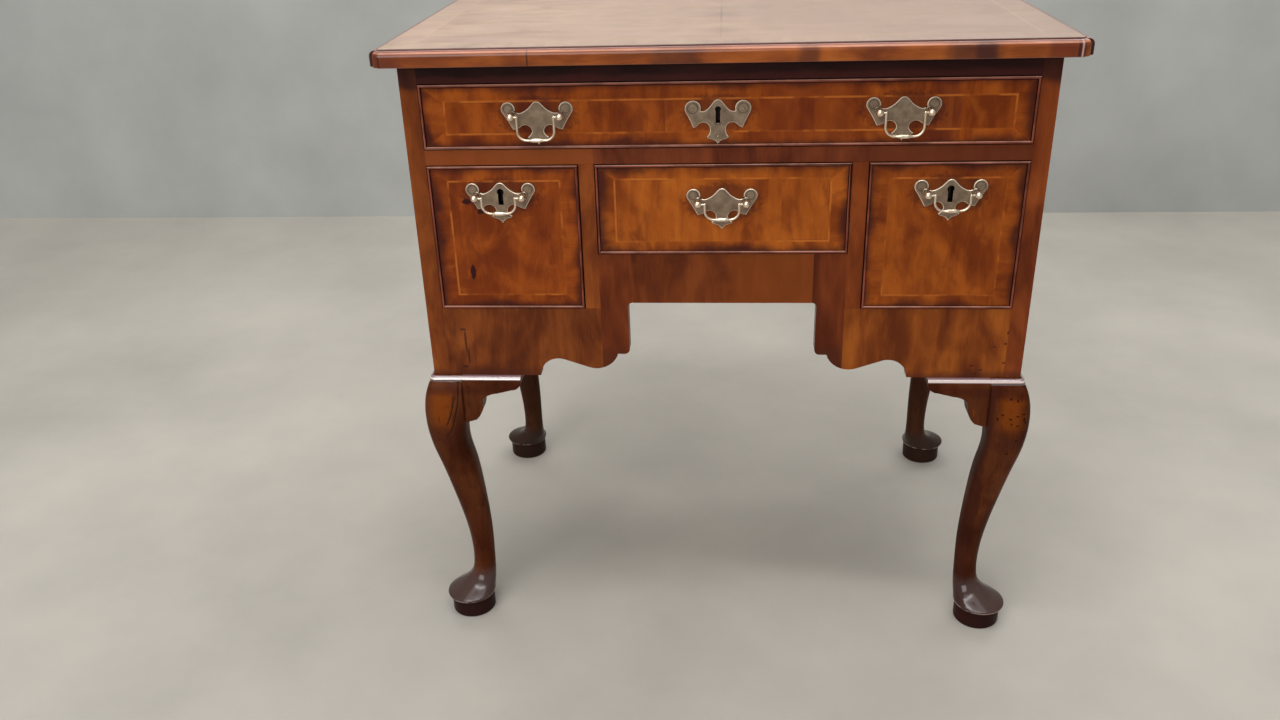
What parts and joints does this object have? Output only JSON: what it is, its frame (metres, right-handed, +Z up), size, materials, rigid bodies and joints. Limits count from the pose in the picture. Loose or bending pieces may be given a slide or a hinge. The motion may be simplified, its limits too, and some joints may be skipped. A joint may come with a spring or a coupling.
{
  "type": "lowboy",
  "caption": "Walnut lowboy with a moulded top, a long drawer over short ones, a shaped apron with a kneehole, cabriole legs with pad feet, and brass pulls that swing.",
  "frame": {"origin": "on the floor, under the middle of the bounding box", "axes": "+X to the right as seen from the front, +Y to the back, +Z up; the drawers open along -Y"},
  "size_m": [0.728, 0.484, 0.729],
  "materials": {
    "top_walnut": "polished, pale and figured, with a raised field",
    "case_walnut": "polished figured veneer",
    "drawer_walnut": "polished figured veneer with a pale line",
    "bead_walnut": "polished, dark",
    "leg_walnut": "polished solid wood, darker at the feet",
    "lining_oak": "dry and unpolished",
    "inner_pine": "dry and unpolished",
    "brass": "aged, with bright edges",
    "lock_iron": "dull"
  },
  "bodies": {
    "carcass": {"top_board": "top_walnut", "top_front_moulding": "top_walnut", "top_side_mouldings": "top_walnut", "left_side_panel": "case_walnut", "right_side_panel": "case_walnut", "back_board": "inner_pine", "top_rail": "case_walnut", "middle_rail": "case_walnut", "left_partition": "case_walnut", "right_partition": "case_walnut", "left_apron": "case_walnut", "right_apron": "case_walnut", "arch_brackets": "case_walnut", "centre_apron": "case_walnut", "front_left_leg": "leg_walnut", "front_right_leg": "leg_walnut", "back_left_leg": "leg_walnut", "back_right_leg": "leg_walnut", "front_leg_ears": "leg_walnut", "back_leg_ears": "leg_walnut", "drawer_runners": "inner_pine", "drawer_stops": "inner_pine", "glue_blocks": "inner_pine"},
    "long_drawer": {"long_drawer_front": "drawer_walnut", "long_drawer_cockbeads": "bead_walnut", "long_drawer_box": "lining_oak", "long_drawer_bottom": "lining_oak", "long_drawer_backplates": "brass", "long_drawer_pull_posts": "brass", "long_drawer_escutcheon": "brass", "long_drawer_escutcheon_pins": "brass", "long_drawer_lock_case": "lock_iron"},
    "left_drawer": {"left_drawer_front": "drawer_walnut", "left_drawer_cockbeads": "bead_walnut", "left_drawer_box": "lining_oak", "left_drawer_bottom": "lining_oak", "left_drawer_backplate": "brass", "left_drawer_pull_posts": "brass", "left_drawer_lock_case": "lock_iron"},
    "centre_drawer": {"centre_drawer_front": "drawer_walnut", "centre_drawer_cockbeads": "bead_walnut", "centre_drawer_box": "lining_oak", "centre_drawer_bottom": "lining_oak", "centre_drawer_backplate": "brass", "centre_drawer_pull_posts": "brass"},
    "right_drawer": {"right_drawer_front": "drawer_walnut", "right_drawer_cockbeads": "bead_walnut", "right_drawer_box": "lining_oak", "right_drawer_bottom": "lining_oak", "right_drawer_backplate": "brass", "right_drawer_pull_posts": "brass", "right_drawer_lock_case": "lock_iron"},
    "long_drawer_left_bail": {"long_drawer_left_bail": "brass"},
    "long_drawer_right_bail": {"long_drawer_right_bail": "brass"},
    "left_drawer_bail": {"left_drawer_bail": "brass"},
    "centre_drawer_bail": {"centre_drawer_bail": "brass"},
    "right_drawer_bail": {"right_drawer_bail": "brass"},
    "long_drawer_lock_bolt": {"long_drawer_lock_bolt": "brass"},
    "left_drawer_lock_bolt": {"left_drawer_lock_bolt": "brass"},
    "right_drawer_lock_bolt": {"right_drawer_lock_bolt": "brass"}
  },
  "joints": [
    {"name": "long_drawer_slide", "type": "slide", "parent": "carcass", "child": "long_drawer", "axis": [0, -1, 0], "range_m": [0, 0.3]},
    {"name": "left_drawer_slide", "type": "slide", "parent": "carcass", "child": "left_drawer", "axis": [0, -1, 0], "range_m": [0, 0.3]},
    {"name": "centre_drawer_slide", "type": "slide", "parent": "carcass", "child": "centre_drawer", "axis": [0, -1, 0], "range_m": [0, 0.3]},
    {"name": "right_drawer_slide", "type": "slide", "parent": "carcass", "child": "right_drawer", "axis": [0, -1, 0], "range_m": [0, 0.3]},
    {"name": "long_drawer_left_bail_swing", "type": "hinge", "parent": "long_drawer", "child": "long_drawer_left_bail", "pos_m": [-0.195, -0.234, 0.6575], "axis": [-1, 0, 0], "range_deg": [-28, 210]},
    {"name": "long_drawer_right_bail_swing", "type": "hinge", "parent": "long_drawer", "child": "long_drawer_right_bail", "pos_m": [0.186, -0.234, 0.6575], "axis": [-1, 0, 0], "range_deg": [-28, 210]},
    {"name": "left_drawer_bail_swing", "type": "hinge", "parent": "left_drawer", "child": "left_drawer_bail", "pos_m": [-0.2415, -0.234, 0.5701], "axis": [-1, 0, 0], "range_deg": [-43, 224]},
    {"name": "centre_drawer_bail_swing", "type": "hinge", "parent": "centre_drawer", "child": "centre_drawer_bail", "pos_m": [0, -0.234, 0.5619], "axis": [-1, 0, 0], "range_deg": [-43, 224]},
    {"name": "right_drawer_bail_swing", "type": "hinge", "parent": "right_drawer", "child": "right_drawer_bail", "pos_m": [0.2415, -0.234, 0.5701], "axis": [-1, 0, 0], "range_deg": [-43, 224]},
    {"name": "long_drawer_lock_bolt_throw", "type": "slide", "parent": "long_drawer", "child": "long_drawer_lock_bolt", "axis": [0, 0, 1], "range_m": [0, 0.006]},
    {"name": "left_drawer_lock_bolt_throw", "type": "slide", "parent": "left_drawer", "child": "left_drawer_lock_bolt", "axis": [0, 0, 1], "range_m": [0, 0.006]},
    {"name": "right_drawer_lock_bolt_throw", "type": "slide", "parent": "right_drawer", "child": "right_drawer_lock_bolt", "axis": [0, 0, 1], "range_m": [0, 0.006]}
  ]
}
